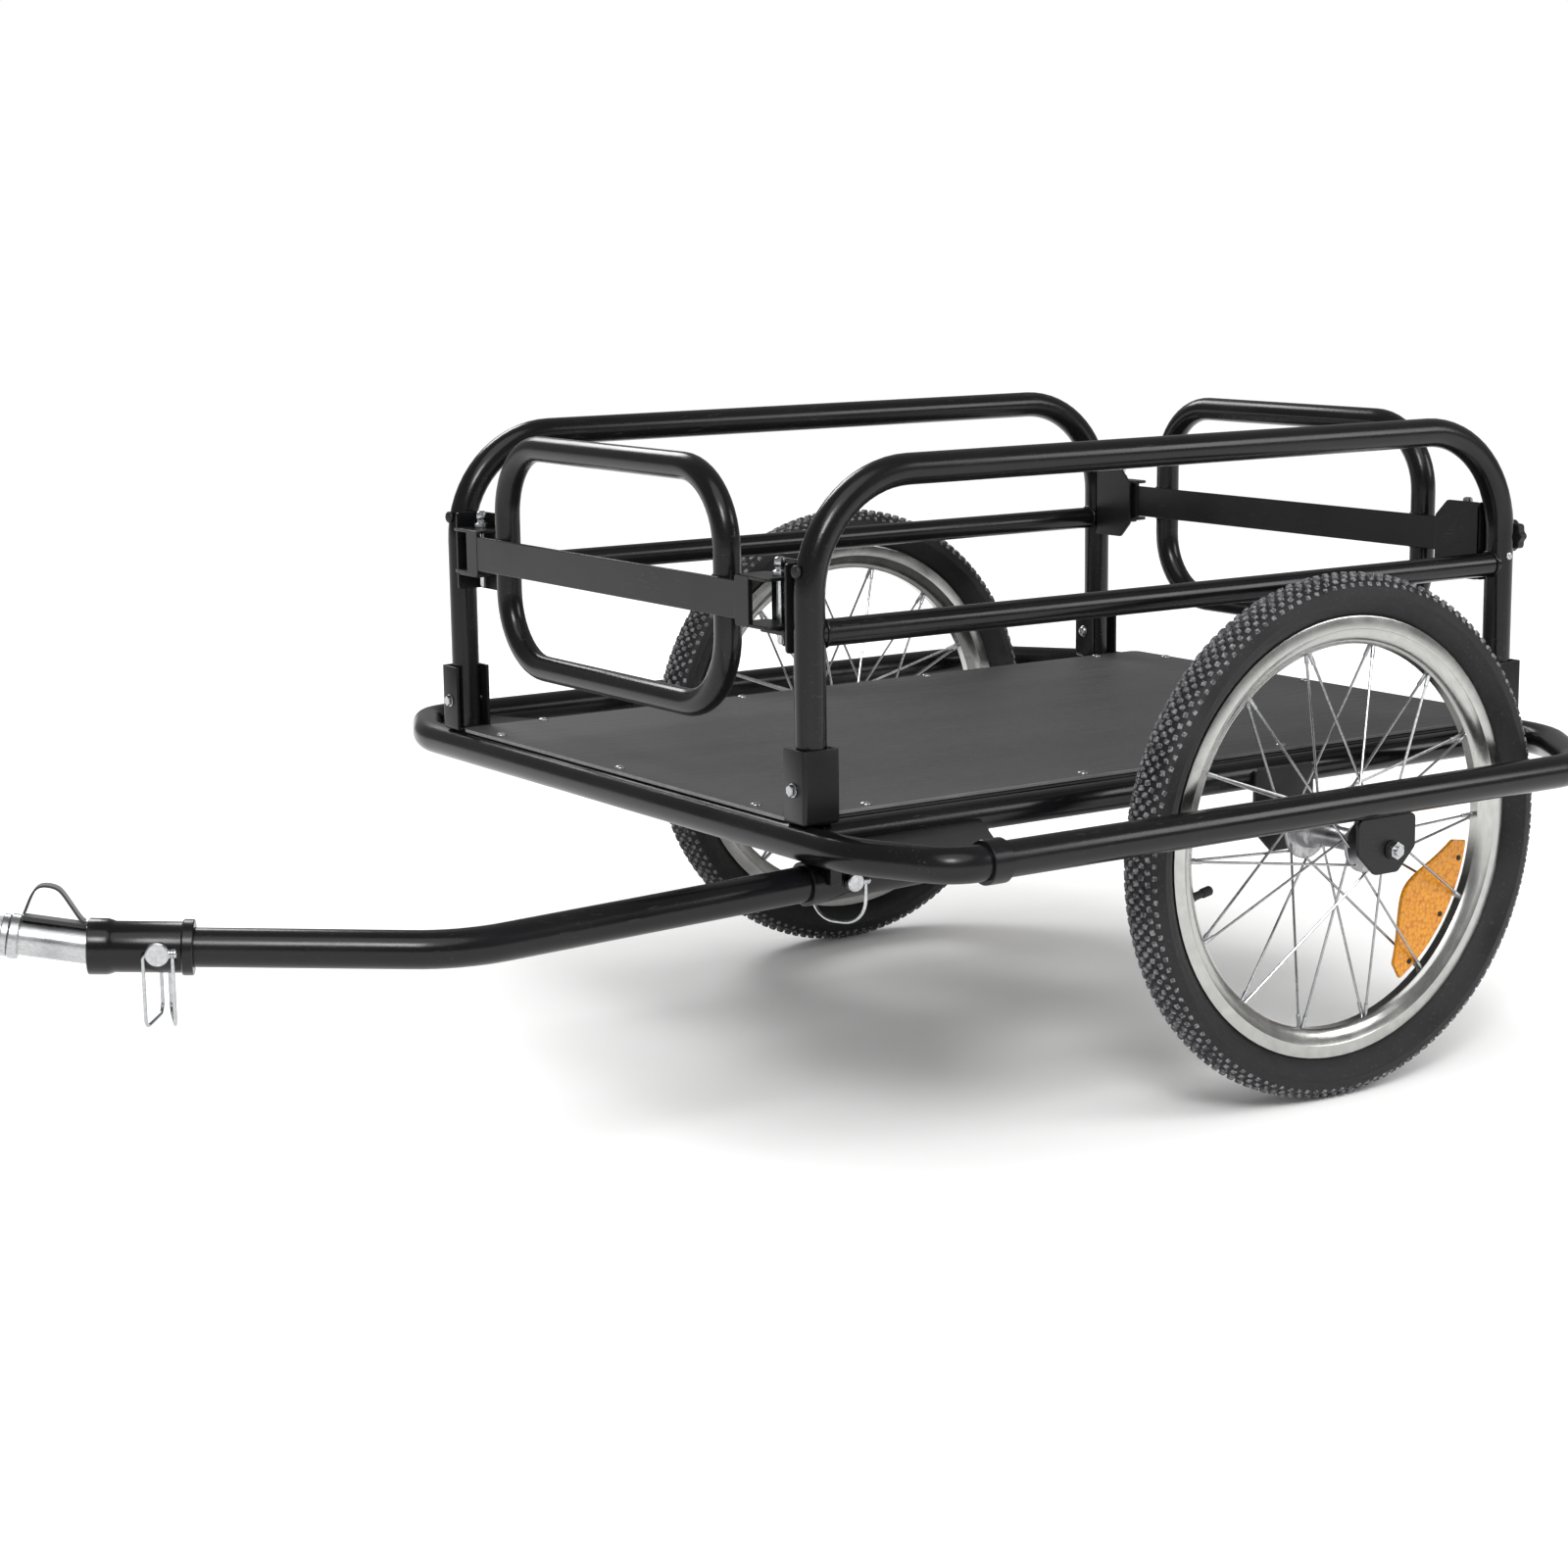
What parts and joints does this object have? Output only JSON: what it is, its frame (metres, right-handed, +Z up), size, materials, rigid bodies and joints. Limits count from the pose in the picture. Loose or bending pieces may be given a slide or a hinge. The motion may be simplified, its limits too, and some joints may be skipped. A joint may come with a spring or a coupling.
{
  "type": "bicycle cargo trailer",
  "caption": "Two-wheeled bicycle cargo trailer: tube guard frame round the wheels, flat bed, bent side arches, lift-out end gates and a pinned tow bar.",
  "frame": {"origin": "on the ground, below the middle of the trailer's outline", "axes": "+X forward along the tow bar, +Y to the trailer's left side, +Z up"},
  "size_m": [1.6152, 0.9892, 0.628],
  "materials": {
    "black_paint": "gloss black powder coat on steel tube and sheet",
    "bed_board": "dark grey, fine satin, paler cut edge",
    "zinc_steel": "bright zinc plate",
    "bare_aluminium": "bright satin",
    "tyre_rubber": "matt black",
    "amber_reflector": "clear amber",
    "black_plastic": "black, smooth",
    "black_webbing": "woven black"
  },
  "bodies": {
    "frame": {"guard_frame_front": "black_paint", "guard_frame_rear": "black_paint", "cross_tube": "black_paint", "tow_bar": "black_paint", "tow_socket": "black_paint", "coupler": "black_paint", "guard_sleeve_left": "black_paint", "guard_sleeve_right": "black_paint", "side_rail_left": "black_paint", "side_rail_right": "black_paint", "side_arch_left": "black_paint", "side_arch_right": "black_paint", "wheel_plate_inner_left": "black_paint", "wheel_plate_inner_right": "black_paint", "wheel_plate_outer_left": "black_paint", "wheel_plate_outer_right": "black_paint", "post_foot_front_left": "black_paint", "post_foot_rear_left": "black_paint", "post_foot_front_right": "black_paint", "post_foot_rear_right": "black_paint", "gate_bracket_front_left": "black_paint", "gate_bracket_rear_left": "black_paint", "gate_bracket_front_right": "black_paint", "gate_bracket_rear_right": "black_paint", "bed_panel": "bed_board", "post_bolt_front_left": "zinc_steel", "post_bolt_rear_left": "zinc_steel", "post_bolt_front_right": "zinc_steel", "post_bolt_rear_right": "zinc_steel", "socket_pin": "zinc_steel", "coupler_pin": "zinc_steel", "hitch_arm": "zinc_steel", "axle_left": "zinc_steel", "axle_right": "zinc_steel", "safety_strap": "black_webbing"},
    "wheel_left": {"tyre_left": "tyre_rubber", "rim_left": "bare_aluminium", "hub_left": "bare_aluminium", "spokes_inner_left": "zinc_steel", "spokes_outer_left": "zinc_steel", "reflector_left": "amber_reflector"},
    "wheel_right": {"tyre_right": "tyre_rubber", "rim_right": "bare_aluminium", "hub_right": "bare_aluminium", "spokes_inner_right": "zinc_steel", "spokes_outer_right": "zinc_steel", "reflector_right": "amber_reflector"},
    "front_gate": {"gate_front": "black_paint"},
    "rear_gate": {"gate_rear": "black_paint"},
    "drop_pin_front_left": {"gate_pin_front_left": "zinc_steel"},
    "drop_pin_rear_left": {"gate_pin_rear_left": "zinc_steel"},
    "drop_pin_front_right": {"gate_pin_front_right": "zinc_steel"},
    "drop_pin_rear_right": {"gate_pin_rear_right": "zinc_steel"},
    "socket_bail_wire": {"socket_bail": "zinc_steel"},
    "coupler_bail_wire": {"coupler_bail": "zinc_steel"},
    "swivel": {"hitch_swivel": "zinc_steel"},
    "knuckle": {"universal_block": "zinc_steel"},
    "hitch_plate": {"axle_plate": "zinc_steel"},
    "knob_left": {"clamp_knob_left": "black_plastic"},
    "knob_right": {"clamp_knob_right": "black_plastic"}
  },
  "joints": [
    {"name": "left_wheel_spin", "type": "hinge", "parent": "frame", "child": "wheel_left", "pos_m": [-0.44663, 0.404, 0.25], "axis": [0, 1, 0], "continuous": true},
    {"name": "right_wheel_spin", "type": "hinge", "parent": "frame", "child": "wheel_right", "pos_m": [-0.44663, -0.404, 0.25], "axis": [0, 1, 0], "continuous": true},
    {"name": "front_gate_lift", "type": "slide", "parent": "frame", "child": "front_gate", "axis": [0, 0, 1], "range_m": [0, 0.09]},
    {"name": "rear_gate_lift", "type": "slide", "parent": "frame", "child": "rear_gate", "axis": [0, 0, 1], "range_m": [0, 0.09]},
    {"name": "front_left_pin_lift", "type": "slide", "parent": "front_gate", "child": "drop_pin_front_left", "axis": [0, 0, 1], "range_m": [0, 0.065]},
    {"name": "rear_left_pin_lift", "type": "slide", "parent": "rear_gate", "child": "drop_pin_rear_left", "axis": [0, 0, 1], "range_m": [0, 0.065]},
    {"name": "front_right_pin_lift", "type": "slide", "parent": "front_gate", "child": "drop_pin_front_right", "axis": [0, 0, 1], "range_m": [0, 0.065]},
    {"name": "rear_right_pin_lift", "type": "slide", "parent": "rear_gate", "child": "drop_pin_rear_right", "axis": [0, 0, 1], "range_m": [0, 0.065]},
    {"name": "socket_bail_swing", "type": "hinge", "parent": "frame", "child": "socket_bail_wire", "pos_m": [0.0533, 0.32901, 0.25992], "axis": [1, 0, 0], "range_deg": [0, 110]},
    {"name": "coupler_bail_swing", "type": "hinge", "parent": "frame", "child": "coupler_bail_wire", "pos_m": [0.65494, 0.22672, 0.2633], "axis": [0.8805, -0.4741, 0], "range_deg": [0, 150]},
    {"name": "hitch_roll", "type": "hinge", "parent": "frame", "child": "swivel", "pos_m": [0.74623, 0.14954, 0.27686], "axis": [0.8668, -0.4667, 0.1758], "continuous": true},
    {"name": "hitch_yaw", "type": "hinge", "parent": "swivel", "child": "knuckle", "pos_m": [0.76738, 0.13815, 0.28115], "axis": [-0.1548, 0.0834, 0.9844], "range_deg": [-50, 50]},
    {"name": "hitch_pitch", "type": "hinge", "parent": "knuckle", "child": "hitch_plate", "pos_m": [0.79338, 0.12415, 0.28642], "axis": [0.4741, 0.8805, 0], "range_deg": [-30, 40]},
    {"name": "left_knob_turn", "type": "hinge", "parent": "frame", "child": "knob_left", "pos_m": [-0.74863, 0.315, 0.505], "axis": [-1, 0, 0], "continuous": true},
    {"name": "right_knob_turn", "type": "hinge", "parent": "frame", "child": "knob_right", "pos_m": [-0.74863, -0.315, 0.505], "axis": [-1, 0, 0], "continuous": true}
  ]
}
